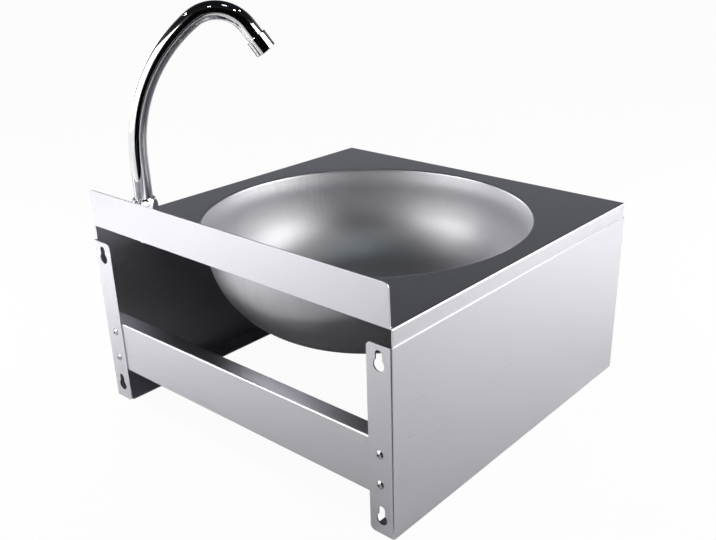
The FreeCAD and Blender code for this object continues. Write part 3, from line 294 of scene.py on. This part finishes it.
# Grain of rolled sheet, in cells to the metre
LENGTHWISE, CROSSWISE = 14.0, 1600.0
ALONG_X = (LENGTHWISE, CROSSWISE, CROSSWISE)
ALONG_Y = (CROSSWISE, LENGTHWISE, CROSSWISE)
ALONG_Z = (CROSSWISE, CROSSWISE, LENGTHWISE)
RUBBER_SKIN = {"colour": RUBBER, "shade": RUBBER_SHADE, "grain_scale": 2600.0}
PLASTIC_SKIN = {"colour": PLASTIC, "shade": PLASTIC_SHADE, "grain_scale": 1800.0}
bowl_low, bowl_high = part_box("bowl")
bowl_centre = (bowl_low + bowl_high) / 2
bowl_top = bowl_high.z - bowl_centre.z
lip_foot, lip_crest = 0.0032, 0.0014
bowl_lip = (bowl_top - lip_foot, bowl_top - lip_crest)

finishes = {
    "deck": sheet_steel("deck_steel", ALONG_X, roughness=0.30, ease=0.0005),
    "bowl": bowl_steel("bowl_steel", bowl_centre, (-0.015, 0.050), lip_heights=bowl_lip, roughness=0.43),
    "left_side_panel": sheet_steel("left_panel_steel", ALONG_Y, roughness=0.28, ease=0.0005),
    "right_side_panel": sheet_steel("right_panel_steel", ALONG_Y, roughness=0.28, ease=0.0005),
    "rear_rail": sheet_steel("rail_steel", ALONG_X, roughness=0.28, ease=0.0005),
    "knee_panel": sheet_steel("knee_panel_steel", ALONG_X, roughness=0.28, ease=0.0005),
    "left_hinge_bracket": sheet_steel("left_bracket_steel", ALONG_Z, roughness=0.32, ease=0.0003),
    "right_hinge_bracket": sheet_steel("right_bracket_steel", ALONG_Z, roughness=0.32, ease=0.0003),
    "valve_bracket": sheet_steel("valve_bracket_steel", ALONG_X, roughness=0.32, ease=0.0004),
    "rail_rivets": turned_metal("rivet_steel", RIVET, RIVET_SHADE, roughness=0.16, ease=0.0002),
    "hinge_rod": turned_metal("rod_steel", STEEL, STEEL_SHADE, roughness=0.24, ease=0.0002),
    "hinge_clips": turned_metal("clip_steel", STEEL, STEEL_SHADE, roughness=0.30, ease=0.0001),
    "strainer_screw": turned_metal("screw_steel", STEEL, STEEL_SHADE, roughness=0.20, ease=0.0002),
    "tap_clamp_washer": turned_metal("washer_steel", STEEL, STEEL_SHADE, roughness=0.30, ease=0.0002),
    "valve_spring": turned_metal("spring_steel", STEEL, STEEL_SHADE, roughness=0.28, ease=0.0001),
    "push_button": plated("button_chrome", CHROME, CHROME_SHADE, roughness=0.06, ease=0.0003),
    "waste_flange": plated("waste_chrome", CHROME, CHROME_SHADE, roughness=0.10, ease=0.0003),
    "strainer_plate": plated("strainer_chrome", CHROME, CHROME_SHADE, roughness=0.12, ease=0.0002),
    "coupling_nut": plated("coupling_chrome", CHROME, CHROME_SHADE, roughness=0.05, ease=0.0003),
    "spout_tube": plated("spout_chrome", CHROME, CHROME_SHADE, roughness=0.03, ease=0.0002),
    "aerator_housing": plated("aerator_chrome", CHROME, CHROME_SHADE, roughness=0.05, ease=0.0003),
    "tap_shank": plated("shank_chrome", CHROME, CHROME_SHADE, roughness=0.12, ease=0.0002),
    "tap_lock_nut": plated("tap_nut_chrome", CHROME, CHROME_SHADE, roughness=0.16, ease=0.0003),
    "valve_body": turned_metal("valve_body_brass", BRASS, BRASS_SHADE, roughness=0.38, ease=0.0003),
    "valve_bonnet": turned_metal("bonnet_brass", BRASS, BRASS_SHADE, roughness=0.30, ease=0.0003),
    "valve_lock_nut": turned_metal("valve_nut_brass", BRASS, BRASS_SHADE, roughness=0.30, ease=0.0003),
    "valve_stem": turned_metal("stem_brass", BRASS, BRASS_SHADE, roughness=0.26, ease=0.0002),
    "panel_buffers": moulded("buffer_rubber", roughness=0.72, depth=0.0002, **RUBBER_SKIN),
    "piston_seal": moulded("piston_rubber", roughness=0.60, depth=0.0001, **RUBBER_SKIN),
    "upper_waste_seal": moulded("upper_seal_rubber", roughness=0.70, depth=0.0001, **RUBBER_SKIN),
    "lower_waste_seal": moulded("lower_seal_rubber", roughness=0.70, depth=0.0001, **RUBBER_SKIN),
    "tap_base_seal": moulded("base_seal_rubber", roughness=0.66, depth=0.0001, **RUBBER_SKIN),
    "spout_seals": moulded("spout_seal_rubber", roughness=0.60, depth=0.0001, **RUBBER_SKIN),
    "aerator_washer": moulded("aerator_rubber", roughness=0.66, depth=0.0001, **RUBBER_SKIN),
    "waste_lock_nut": moulded("waste_nut_plastic", roughness=0.48, depth=0.0001, **PLASTIC_SKIN),
    "spout_bush": moulded("bush_plastic", roughness=0.42, depth=0.0001, **PLASTIC_SKIN),
    "aerator_insert": moulded("insert_plastic", roughness=0.45, depth=0.0001, **PLASTIC_SKIN),
}
for name, material in finishes.items():
    for material_slot in nodes[name].material_slots:
        material_slot.material = material


# Threads and the wound spring, cut finer than the solids have them

MM = 0.001
HALF_INCH_PIPE = {"radius": 10.48 * MM, "pitch": 1.814 * MM, "depth": 1.16 * MM}
INCH_AND_QUARTER_PIPE = {"radius": 20.95 * MM, "pitch": 2.309 * MM, "depth": 1.48 * MM}
SHARP_ANGLE = 32.0


def cut_thread(shape, start, along, length, radius, pitch, depth):
    """Replaces a plain round stretch by a vee thread between the rings at its two ends.

    The vee fades out over the first and the last half turn.
    """
    near = 0.01 * MM
    same_plane = near / 10
    rows_per_turn = 8
    across = along.orthogonal().normalized()
    aside = along.cross(across)

    def height(point):
        return (point.co - start).dot(along)

    def turn(point):
        away = point.co - start
        return math.atan2(away.dot(aside), away.dot(across))

    def on_wall(point):
        away = point.co - start
        return abs((away - along * away.dot(along)).length - radius) < near and height(point) > -near

    wall = [face for face in shape.faces if all(on_wall(point) for point in face.verts)]
    around = {part for face in wall for part in (*face.edges, *face.verts)}
    bmesh.ops.bisect_plane(
        shape, geom=[*wall, *around], dist=same_plane, plane_co=start + along * length, plane_no=along
    )
    wall = [face for face in shape.faces if all(on_wall(point) for point in face.verts)]
    stretch = [face for face in wall if all(height(point) < length + near for point in face.verts)]
    bmesh.ops.delete(shape, geom=stretch, context="FACES")
    points = [point for point in shape.verts if on_wall(point)]
    first = sorted((point for point in points if abs(height(point)) < near), key=turn)
    last = sorted((point for point in points if abs(height(point) - length) < near), key=turn)
    rows = [first]
    count = round(length / pitch * rows_per_turn)
    for index in range(1, count):
        rise = length * index / count
        ease = min(1.0, rise / pitch * 2, (length - rise) / pitch * 2)
        row = []
        for angle in [turn(point) for point in first]:
            share = (rise / pitch - angle / math.tau) % 1.0
            reach = radius - depth * ease * (1.0 - abs(2.0 * share - 1.0))
            away = across * math.cos(angle) + aside * math.sin(angle)
            row.append(shape.verts.new(start + along * rise + away * reach))
        rows.append(row)
    for low, high in zip(rows, rows[1:]):
        for index in range(len(first)):
            after = (index + 1) % len(first)
            shape.faces.new((low[index], low[after], high[after], high[index]))
    join_rings(shape, rows[-1], last, turn)


def join_rings(shape, low, high, turn):
    """Closes the strip between two rings, which may have different numbers of points."""
    low_turns = [turn(point) for point in low] + [turn(low[0]) + math.tau]
    high_turns = [turn(point) for point in high] + [turn(high[0]) + math.tau]
    first, second = 0, 0
    while first < len(low) or second < len(high):
        below, above = low[first % len(low)], high[second % len(high)]
        if second == len(high) or (first < len(low) and low_turns[first + 1] <= high_turns[second + 1]):
            first += 1
            shape.faces.new((below, low[first % len(low)], above))
        else:
            second += 1
            shape.faces.new((below, high[second % len(high)], above))


def add_threaded(node, *stretches):
    """A copy of a node with real threads on its plain stretches, which stands for the node."""
    same_point = 0.002 * MM
    shape = bmesh.new()
    shape.from_mesh(nodes[node].data)
    bmesh.ops.remove_doubles(shape, verts=shape.verts, dist=same_point)
    for stretch in stretches:
        cut_thread(shape, **stretch)
    bmesh.ops.recalc_face_normals(shape, faces=shape.faces)
    for face in shape.faces:
        face.smooth = True
    add_piece(node + "_threaded", shape, node)


def add_piece(name, shape, node):
    """Makes a shape into a piece of the casing, in the finish and the place of a node."""
    mesh = bpy.data.meshes.new(name)
    shape.to_mesh(mesh)
    shape.free()
    mesh.set_sharp_from_angle(angle=math.radians(SHARP_ANGLE))
    mesh.materials.append(finishes[node])
    piece = bpy.data.objects.new(name, mesh)
    bpy.context.scene.collection.objects.link(piece)
    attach(piece, "casing")
    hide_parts(node)
    return piece


def add_spring(node, wire, turns):
    """A compression spring wound about the Y axis.

    Its first and last turns lie closed, one wire on the next.
    """
    closed_turns = 2
    low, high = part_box(node)
    centre = (low + high) / 2
    radius = (high.x - low.x - wire) / 2
    steps, sides = 32, 10
    pitch = (high.y - low.y - wire * (closed_turns + 1)) / (turns - closed_turns)
    shape = bmesh.new()
    rings = []
    for step in range(turns * steps + 1):
        share = step / steps
        closed = min(share, 1.0) + max(share - turns + 1, 0.0)
        rise = low.y + wire / 2 + wire * closed + pitch * (share - closed)
        away = Vector((math.cos(share * math.tau), 0.0, math.sin(share * math.tau)))
        middle = Vector((centre.x, rise, centre.z)) + away * radius
        ring = []
        for side in range(sides):
            angle = side * math.tau / sides
            offset = away * math.cos(angle) + Vector((0.0, math.sin(angle), 0.0))
            ring.append(shape.verts.new(middle + offset * (wire / 2)))
        rings.append(ring)
    for first, second in zip(rings, rings[1:]):
        for side in range(sides):
            after = (side + 1) % sides
            shape.faces.new((first[side], first[after], second[after], second[side])).smooth = True
    shape.faces.new(rings[0])
    shape.faces.new(rings[-1][::-1])
    bmesh.ops.recalc_face_normals(shape, faces=shape.faces)
    spring = add_piece(node + "_wound", shape, node)
    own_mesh(spring)


def add_threads():
    """Threads for the foot of the tap's shank, the tail of the waste and the two ends of the valve."""
    runout = 0.5 * MM
    chamfer = 1.0 * MM
    inlet_length, outlet_length = 16.0 * MM, 14.0 * MM
    sideways, rearward, up = Vector((1.0, 0.0, 0.0)), Vector((0.0, 1.0, 0.0)), Vector((0.0, 0.0, 1.0))
    shank_low, shank_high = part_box("tap_shank")
    shank_end = Vector((*((shank_low + shank_high) / 2).xy, shank_low.z + chamfer))
    shank_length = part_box("tap_lock_nut")[0].z - runout - shank_end.z
    shank = dict(start=shank_end, along=up, length=shank_length, **HALF_INCH_PIPE)
    add_threaded("tap_shank", shank)
    waste_low, waste_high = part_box("waste_flange")
    waste_end = Vector((*((waste_low + waste_high) / 2).xy, waste_low.z))
    waste_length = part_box("waste_lock_nut")[0].z - runout - waste_end.z
    tail = dict(start=waste_end, along=up, length=waste_length, **INCH_AND_QUARTER_PIPE)
    add_threaded("waste_flange", tail)
    _, valve_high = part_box("valve_body")
    stem_centre = sum(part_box("valve_stem"), Vector()) / 2
    mounts = {mount["name"]: Vector(mount["pos_m"]) for mount in frame["record"]["mounts"]}
    inlet_end = Vector((stem_centre.x, valve_high.y, stem_centre.z))
    outlet_end = Vector((valve_high.x, mounts["valve_outlet"].y, mounts["valve_outlet"].z))
    inlet = dict(start=inlet_end, along=-rearward, length=inlet_length, **HALF_INCH_PIPE)
    outlet = dict(start=outlet_end, along=-sideways, length=outlet_length, **HALF_INCH_PIPE)
    add_threaded("valve_body", inlet, outlet)


add_threads()
add_spring("valve_spring", wire=1.3 * MM, turns=7)


# Floor and surroundings

def build_floor():
    """Pale paper: nearly white to the camera, with a faint shadow, and white in metal far from the object."""
    half = 30.0
    below = -0.0004
    speckle_share = 0.97
    camera_share = 0.96
    white_between = (0.7, 1.6)
    mesh = bpy.data.meshes.new("floor")
    corners = [(-half, -half, below), (half, -half, below), (half, half, below), (-half, half, below)]
    mesh.from_pydata(corners, [], [(0, 1, 2, 3)])
    floor = bpy.data.objects.new("floor", mesh)
    bpy.context.scene.collection.objects.link(floor)
    made = Nodes("floor_paper")
    paper = made.add("ShaderNodeBsdfDiffuse")
    speckle = made.noise(made.object_place(), scale=40.0, detail=4.0)
    pale = tuple(speckle_share * share for share in FLOOR)
    made.join(made.blend_colours(speckle, pale, FLOOR), paper.inputs["Color"])
    glow = made.add("ShaderNodeEmission")
    glow.inputs["Color"].default_value = (1.0, 1.0, 1.0, 1.0)
    glow.inputs["Strength"].default_value = 1.0
    rays = made.add("ShaderNodeLightPath")
    seen = made.scaled(rays.outputs["Is Camera Ray"], camera_share)
    reach = made.add("ShaderNodeVectorMath", operation="LENGTH")
    made.join(made.object_place(), reach.inputs[0])
    faraway = made.eased(reach.outputs["Value"], white_between, 0.0, 1.0)
    mirrored = made.add("ShaderNodeMath", operation="MULTIPLY")
    made.join(rays.outputs["Is Glossy Ray"], mirrored.inputs[0])
    made.join(faraway, mirrored.inputs[1])
    mix = made.add("ShaderNodeMixShader")
    made.join(made.summed(seen, mirrored.outputs["Value"]), mix.inputs["Fac"])
    made.join(paper.outputs["BSDF"], mix.inputs[1])
    made.join(glow.outputs["Emission"], mix.inputs[2])
    made.join(mix.outputs["Shader"], made.output.inputs["Surface"])
    mesh.materials.append(made.material)


def build_world():
    """White for the camera, even for matt pieces; metal shows a white horizon under a dim ceiling."""
    horizon_to_ceiling = (
        (0.0, 0.95), (0.05, 0.80), (0.14, 0.24), (0.26, 0.15), (0.42, 0.08), (0.62, 0.012), (1.0, 0.008),
    )
    red_share, green_share, blue_share = 0.95, 0.985, 1.08
    matt_sky = 0.22
    halfway = 0.5
    world = bpy.data.worlds.new("studio")
    bpy.context.scene.world = world
    world.use_nodes = True
    tree = world.node_tree
    tree.nodes.clear()
    place = tree.nodes.new("ShaderNodeTexCoord")
    parts = tree.nodes.new("ShaderNodeSeparateXYZ")
    tree.links.new(place.outputs["Generated"], parts.inputs["Vector"])
    ramp = tree.nodes.new("ShaderNodeValToRGB")
    ramp.color_ramp.interpolation = "EASE"
    while len(ramp.color_ramp.elements) < len(horizon_to_ceiling):
        ramp.color_ramp.elements.new(halfway)
    for element, (height, level) in zip(ramp.color_ramp.elements, horizon_to_ceiling):
        element.position = height
        element.color = (level * red_share, level * green_share, level * blue_share, 1.0)
    tree.links.new(parts.outputs["Z"], ramp.inputs["Fac"])
    studio = tree.nodes.new("ShaderNodeBackground")
    studio.inputs["Strength"].default_value = 1.0
    tree.links.new(ramp.outputs["Color"], studio.inputs["Color"])
    even = tree.nodes.new("ShaderNodeBackground")
    even.inputs["Color"].default_value = (1.0, 1.0, 1.0, 1.0)
    even.inputs["Strength"].default_value = matt_sky
    white = tree.nodes.new("ShaderNodeBackground")
    white.inputs["Color"].default_value = (1.0, 1.0, 1.0, 1.0)
    white.inputs["Strength"].default_value = 1.0
    rays = tree.nodes.new("ShaderNodeLightPath")
    mirrored = tree.nodes.new("ShaderNodeMixShader")
    tree.links.new(rays.outputs["Is Glossy Ray"], mirrored.inputs["Fac"])
    tree.links.new(even.outputs["Background"], mirrored.inputs[1])
    tree.links.new(studio.outputs["Background"], mirrored.inputs[2])
    seen = tree.nodes.new("ShaderNodeMixShader")
    tree.links.new(rays.outputs["Is Camera Ray"], seen.inputs["Fac"])
    tree.links.new(mirrored.outputs["Shader"], seen.inputs[1])
    tree.links.new(white.outputs["Background"], seen.inputs[2])
    output = tree.nodes.new("ShaderNodeOutputWorld")
    tree.links.new(seen.outputs["Shader"], output.inputs["Surface"])


def add_lamp(name, place, facing, width, height, radiance):
    """A rectangular lamp of even brightness, turned to look at a point."""
    lamp = bpy.data.lights.new(name, "AREA")
    lamp.shape = "RECTANGLE"
    lamp.size = width
    lamp.size_y = height
    lamp.energy = radiance * math.pi * width * height
    holder = bpy.data.objects.new(name, lamp)
    holder.location = place
    holder.rotation_euler = (place - facing).to_track_quat("Z", "Y").to_euler()
    bpy.context.scene.collection.objects.link(holder)
    return holder


def add_softbox(name, target, azimuth, elevation, distance, width, height, radiance, colour=WARM_LIGHT):
    """A lamp mirrored in metal, which looks at a spot from the given bearing, in degrees and metres."""
    turn, rise = math.radians(azimuth), math.radians(elevation)
    bearing = Vector((math.cos(rise) * math.cos(turn), math.cos(rise) * math.sin(turn), math.sin(rise)))
    holder = add_lamp(name, target + bearing * distance, target, width, height, radiance)
    holder.data.color = colour
    holder.visible_diffuse = False


def add_pool(name, x, y, rise, width, radiance, spread):
    """A lamp that looks straight down, brightens the floor below it and leaves no glint in metal."""
    holder = add_lamp(name, Vector((x, y, rise)), Vector((x, y, 0.0)), width, width, radiance)
    holder.data.spread = math.radians(spread)
    holder.visible_glossy = False


def add_dark_screen(name, centre, first, last, reach, foot, top, tone):
    """A dark upright screen on an arc about a point, seen only in metal: it gives chrome its dark bands."""
    steps = 12
    turns = [math.radians(first + (last - first) * step / steps) for step in range(steps + 1)]
    feet = [(centre.x + reach * math.cos(turn), centre.y + reach * math.sin(turn), foot) for turn in turns]
    tops = [(x, y, top) for x, y, _ in feet]
    faces = [(step, step + 1, steps + 2 + step, steps + 1 + step) for step in range(steps)]
    add_cloth(name, feet + tops, faces, tone, diffuse=False)


def add_dark_card(name, half, height):
    """A dark card under the casing that keeps its inside in shade; the camera sees the floor instead."""
    corners = [(-half, -half, height), (half, -half, height), (half, half, height), (-half, half, height)]
    add_cloth(name, corners, [(0, 1, 2, 3)], tone=0.60, diffuse=True)


def add_dark_fan(name, corner, azimuth, half_angle, near, far, height):
    """A dark card on the floor that opens away from a corner, seen only in metal: it darkens a fold."""
    turns = [math.radians(azimuth + side * half_angle) for side in (-1, 1)]
    points = [
        (corner.x + reach * math.cos(turn), corner.y + reach * math.sin(turn), height)
        for reach in (near, far) for turn in turns
    ]
    add_cloth(name, points, [(0, 1, 3, 2)], tone=0.03, diffuse=False)


def add_cloth(name, points, faces, tone, diffuse):
    """A woven screen that the camera never sees and that throws no shadow."""
    dark_share, light_share = 0.8, 1.2
    mesh = bpy.data.meshes.new(name)
    mesh.from_pydata(points, [], faces)
    screen = bpy.data.objects.new(name, mesh)
    bpy.context.scene.collection.objects.link(screen)
    made = Nodes(name + "_cloth")
    cloth = made.add("ShaderNodeBsdfDiffuse")
    weave = made.noise(made.object_place(), scale=400.0, detail=2.0)
    dark, light = (tone * dark_share,) * 3, (tone * light_share,) * 3
    made.join(made.blend_colours(weave, dark, light), cloth.inputs["Color"])
    made.join(cloth.outputs["BSDF"], made.output.inputs["Surface"])
    mesh.materials.append(made.material)
    screen.visible_camera = False
    screen.visible_diffuse = diffuse
    screen.visible_transmission = False
    screen.visible_shadow = False


build_floor()
build_world()
spout_low, spout_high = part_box("spout_tube")
nut_low, nut_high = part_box("coupling_nut")
bowl_mouth = Vector((bowl_centre.x, bowl_centre.y, bowl_high.z))
spout_crown = Vector((*((spout_low + spout_high) / 2).xy, spout_high.z))
add_softbox(
    "left_softbox", bowl_mouth, azimuth=63.0, elevation=15.0, distance=1.7,
    width=1.6, height=1.0, radiance=3.6,
)
add_softbox(
    "right_softbox", bowl_mouth, azimuth=-146.0, elevation=18.0, distance=1.7,
    width=1.7, height=1.25, radiance=2.9,
)
add_softbox(
    "rim_softbox", bowl_mouth, azimuth=-4.0, elevation=8.0, distance=1.7,
    width=0.9, height=0.5, radiance=2.6,
)
glints = ((26, 41), (50, 43), (119, 50), (172, 49), (-136, 55))
for index, (azimuth, elevation) in enumerate(glints):
    add_softbox(
        f"glint_{index}", spout_crown, azimuth, elevation,
        distance=1.8, width=0.12, height=0.07, radiance=20.0,
    )
add_softbox(
    "cool_lamp", bowl_mouth, azimuth=156.0, elevation=76.0, distance=1.8, width=0.2,
    height=0.2, radiance=4.5, colour=COOL_LIGHT,
)
add_pool("pool_left", x=0.85, y=0.60, rise=0.8, width=0.8, radiance=2.3, spread=120.0)
add_pool("pool_rear", x=0.42, y=0.66, rise=0.6, width=0.5, radiance=0.9, spread=110.0)
add_pool("pool_right", x=-0.55, y=-0.48, rise=0.7, width=0.7, radiance=1.1, spread=120.0)
add_pool("pool_front", x=-0.55, y=-1.0, rise=0.8, width=0.8, radiance=1.5, spread=120.0)
add_pool("overhead", x=0.0, y=0.0, rise=2.6, width=3.0, radiance=0.80, spread=180.0)
add_dark_screen(
    "dark_screen", (nut_low + nut_high) / 2, first=105.0, last=188.0,
    reach=0.9, foot=0.0, top=1.0, tone=0.006,
)
tip = sum(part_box("aerator_housing"), Vector()) / 2
add_dark_screen("left_flag", tip, first=58.0, last=78.0, reach=0.15, foot=0.246, top=0.276, tone=0.05)
add_dark_screen("side_flag", tip, first=-8.0, last=14.0, reach=0.32, foot=0.13, top=0.195, tone=0.05)
add_dark_card("dark_card", half=0.194, height=-0.0002)
panel_low, panel_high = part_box("left_side_panel")
near_corner = Vector((panel_low.x, panel_high.y))
add_dark_fan("dark_fan", near_corner, azimuth=130.0, half_angle=25.0, near=0.01, far=0.60, height=0.0002)


# Camera

def build_camera():
    """The photograph's own view: where the lens stood, how it was turned, and how the frame was cropped."""
    eye = Vector((-0.592343, 0.664585, 0.499169))
    backward = Vector((-0.58644591, 0.7037035, 0.40110171))
    upward = Vector((0.24664274, -0.31653686, 0.91595402))
    focal_pixels = 882.8
    optical_centre = (393.84, 291.57)
    image_width, image_height = 716.0, 540.0
    sideways = upward.cross(backward)
    lens = bpy.data.cameras.new("camera")
    lens.sensor_width = 36.0
    lens.sensor_fit = "HORIZONTAL"
    lens.lens = focal_pixels * lens.sensor_width / image_width
    lens.shift_x = (image_width / 2 - optical_centre[0]) / image_width
    lens.shift_y = (optical_centre[1] - image_height / 2) / image_width
    lens.clip_start = 0.01
    camera = bpy.data.objects.new("camera", lens)
    turned = Matrix((sideways, upward, backward)).transposed().to_4x4()
    camera.matrix_world = Matrix.Translation(eye) @ turned
    bpy.context.scene.collection.objects.link(camera)
    bpy.context.scene.camera = camera


build_camera()
bpy.context.scene.view_settings.view_transform = "Standard"
